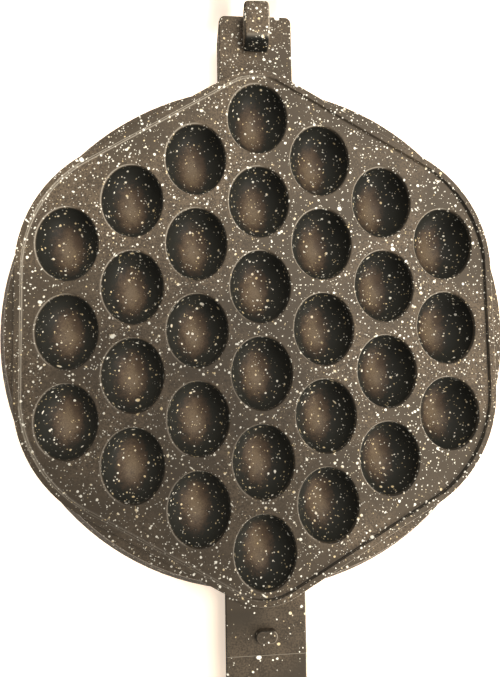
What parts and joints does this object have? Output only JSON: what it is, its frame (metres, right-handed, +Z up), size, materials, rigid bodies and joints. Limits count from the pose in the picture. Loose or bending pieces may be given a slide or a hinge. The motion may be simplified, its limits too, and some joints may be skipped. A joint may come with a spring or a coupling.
{
  "type": "egg waffle pan",
  "caption": "Two-part stovetop waffle pan with rows of egg-shaped cups in a six-sided tray, hook hinge, long grips and a wire bail lock, lying open.",
  "frame": {"origin": "on the table, midway between the centres of the two open halves, which is 4.65 mm from the hinge pin's axis", "axes": "+Z up from the table; -Y towards the lower half, which has the hook, and +Y towards the upper half; X along the hinge pin"},
  "size_m": [0.21, 0.8706, 0.0262],
  "materials": {
    "stone_coating": "cast aluminium with a semi-matt brown-grey non-stick coating, speckled with cream flecks",
    "collar_steel": "satin stainless sheet",
    "grip_phenolic": "moulded black phenolic, fine satin",
    "screw_steel": "plated steel",
    "insert_brass": "turned brass",
    "bush_brass": "turned brass",
    "bail_wire": "bright spring-steel wire",
    "pin_steel": "bright drawn steel",
    "clip_steel": "blackened spring steel"
  },
  "bodies": {
    "lower_half": {"lower_casting": "stone_coating", "lower_collar": "collar_steel", "lower_grip": "grip_phenolic", "lower_grip_screws": "screw_steel", "lower_grip_inserts": "insert_brass", "bail_bushes": "bush_brass"},
    "hinge_pin": {"hinge_pin": "pin_steel", "hinge_pin_clips": "clip_steel"},
    "upper_half": {"upper_casting": "stone_coating", "upper_collar": "collar_steel", "upper_grip": "grip_phenolic", "upper_grip_screws": "screw_steel", "upper_grip_inserts": "insert_brass"},
    "lock_bail": {"lock_bail": "bail_wire"}
  },
  "joints": [
    {"name": "hook_on", "type": "slide", "parent": "lower_half", "child": "hinge_pin", "axis": [0, -1, 0], "range_m": [0, 0.0093]},
    {"name": "swing", "type": "hinge", "parent": "hinge_pin", "child": "upper_half", "pos_m": [0, 0.00465, 0.02], "axis": [1, 0, 0], "range_deg": [0, 180]},
    {"name": "bail_swing", "type": "hinge", "parent": "lower_half", "child": "lock_bail", "pos_m": [0, -0.38532, 0.0105], "axis": [-1, 0, 0], "range_deg": [0, 71.1]}
  ]
}
